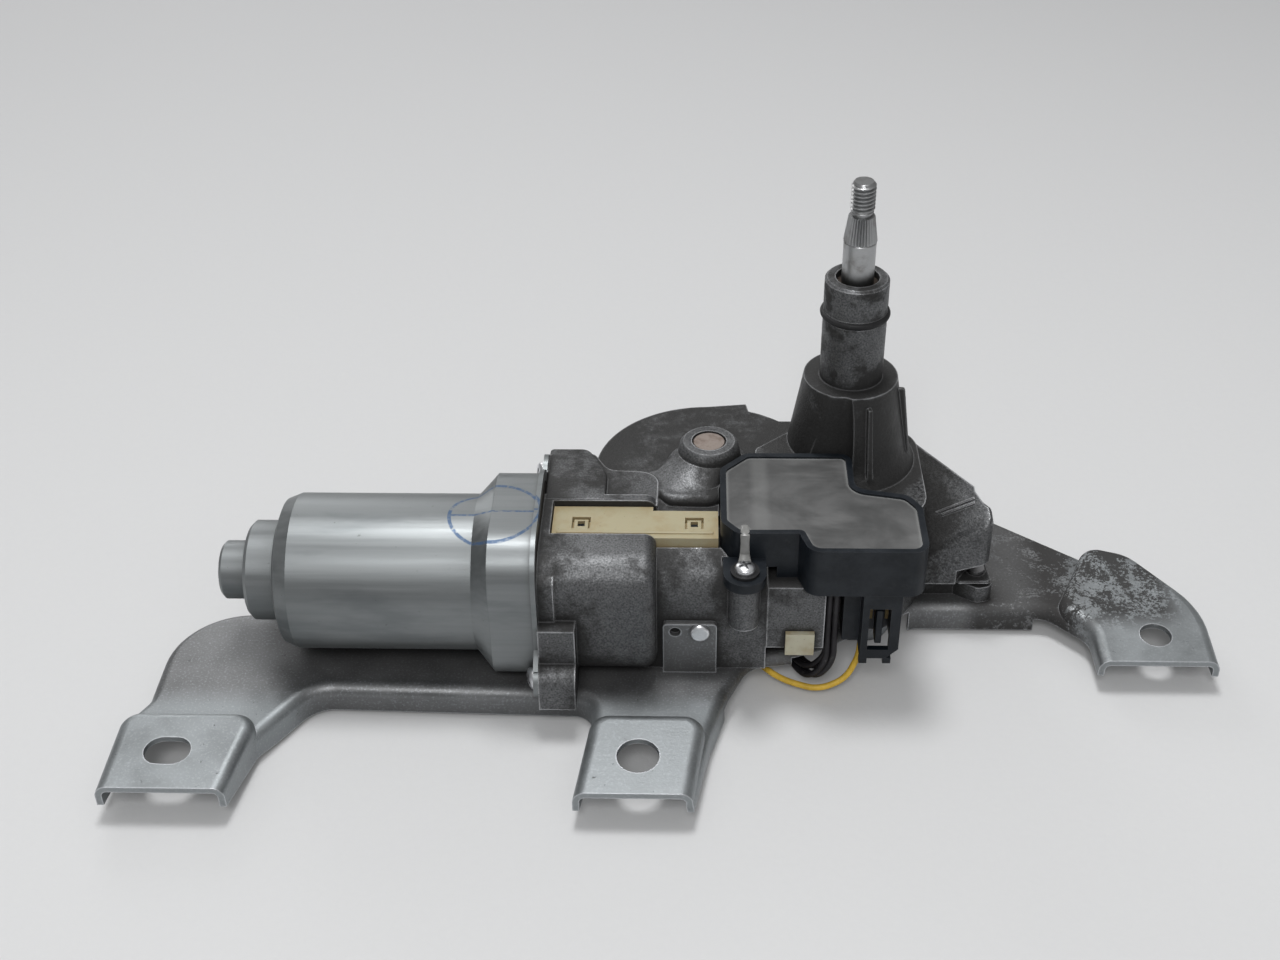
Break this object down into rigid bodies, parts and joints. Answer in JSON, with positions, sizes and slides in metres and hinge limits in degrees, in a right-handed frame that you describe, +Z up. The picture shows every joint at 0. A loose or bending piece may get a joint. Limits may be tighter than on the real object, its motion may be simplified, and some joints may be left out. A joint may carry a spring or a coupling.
{
  "type": "wiper motor",
  "caption": "Geared rear-window wiper motor on a pressed steel bracket with three feet, an upright output shaft in a tower and a relay unit.",
  "frame": {"origin": "on the output shaft's axis, level with the flat ledge on top of the housing's tower", "axes": "+Z up the output shaft towards the wiper arm's stud; +X along the motor, from its closed end towards the shaft; -Y towards the two front feet"},
  "size_m": [0.2718, 0.121, 0.1194],
  "materials": {
    "zinc_plate": "pressed sheet, passivated zinc plate, dulled and scratched",
    "cast_aluminium": "bare die casting, fine speckle, darkened in its hollows",
    "cover_zinc": "pressed sheet, zinc plated",
    "steel": "machined steel, oiled",
    "sintered_bronze": "oil-filled sintered bronze",
    "black_rubber": "black rubber, dull",
    "wheel_pin_steel": "ground end with a brown film",
    "brass": "sheet brass",
    "can_zinc": "deep-drawn, zinc plated, satin with lengthwise draw marks",
    "screw_zinc": "bright zinc plate",
    "ferrite": "dark ferrite ceramic",
    "card_plastic": "brown phenolic",
    "carbon": "carbon",
    "black_plastic": "satin black glass-filled plastic",
    "board": "green laminate",
    "potting": "smoky resin, wiped satin",
    "black_washer": "black oxide",
    "cream_plastic": "cream nylon, yellowed",
    "clip_plastic": "cream nylon",
    "black_wire": "black PVC sleeve",
    "yellow_wire": "yellow PVC sleeve",
    "nylon": "natural nylon",
    "core_steel": "stamped laminations",
    "copper_wire": "lacquered copper wire",
    "shaft_steel": "ground steel, bright zinc plate on the stud"
  },
  "bodies": {
    "root": {"mounting_bracket": "zinc_plate", "gear_housing": "cast_aluminium", "gear_cover": "cover_zinc", "thrust_washer": "steel", "lower_bush": "sintered_bronze", "upper_bush": "sintered_bronze", "tube_ring": "black_rubber", "wheel_pin": "wheel_pin_steel", "contact_springs": "brass", "motor_can": "can_zinc", "can_screws": "screw_zinc", "field_magnets": "ferrite", "can_bearing": "sintered_bronze", "front_bearing": "sintered_bronze", "end_bearing": "sintered_bronze", "thrust_ball": "steel", "brush_card": "card_plastic", "brushes": "carbon", "brush_springs": "steel", "relay_case": "black_plastic", "circuit_board": "board", "relay_potting": "potting", "plug_terminals": "brass", "relay_washer": "black_washer", "relay_screw": "screw_zinc", "terminal_block": "cream_plastic", "bracket_rivets": "steel", "tab_rivet": "screw_zinc", "wire_clip": "clip_plastic", "wires_black": "black_wire", "wire_yellow": "yellow_wire"},
    "wheel": {"worm_wheel": "nylon", "crank_pin": "steel", "contact_disc": "brass"},
    "armature": {"armature_shaft": "steel", "armature_core": "core_steel", "armature_windings": "copper_wire", "commutator": "brass"},
    "output": {"output_shaft": "shaft_steel", "pinion": "steel", "shaft_clip": "steel"},
    "link": {"link_plate": "steel", "link_pin": "steel"},
    "sector": {"sector_rod": "steel"}
  },
  "joints": [
    {"name": "wheel_spin", "type": "hinge", "parent": "root", "child": "wheel", "pos_m": [-0.036, -0.007, -0.036], "axis": [0, 0, 1], "continuous": true},
    {"name": "armature_spin", "type": "hinge", "parent": "root", "child": "armature", "pos_m": [-0.1, -0.0367, -0.036], "axis": [1, 0, 0], "continuous": true},
    {"name": "output_swing", "type": "hinge", "parent": "root", "child": "output", "pos_m": [0, 0, 0], "axis": [0, 0, 1], "range_deg": [0, 137.76]},
    {"name": "link_swing", "type": "hinge", "parent": "root", "child": "link", "pos_m": [0, 0, -0.048], "axis": [0, 0, 1], "range_deg": [0, 47.25]},
    {"name": "sector_swing", "type": "hinge", "parent": "link", "child": "sector", "pos_m": [-0.01551, -0.0163, -0.045], "axis": [0, 0, 1], "range_deg": [-45.27, 0]}
  ],
  "couplings": [
    {"joint": "armature_spin", "follows": "wheel_spin", "ratio": -50},
    {"joint": "link_swing", "follows": "output_swing", "ratio": 0.34291},
    {"joint": "sector_swing", "follows": "output_swing", "ratio": -0.32854}
  ]
}
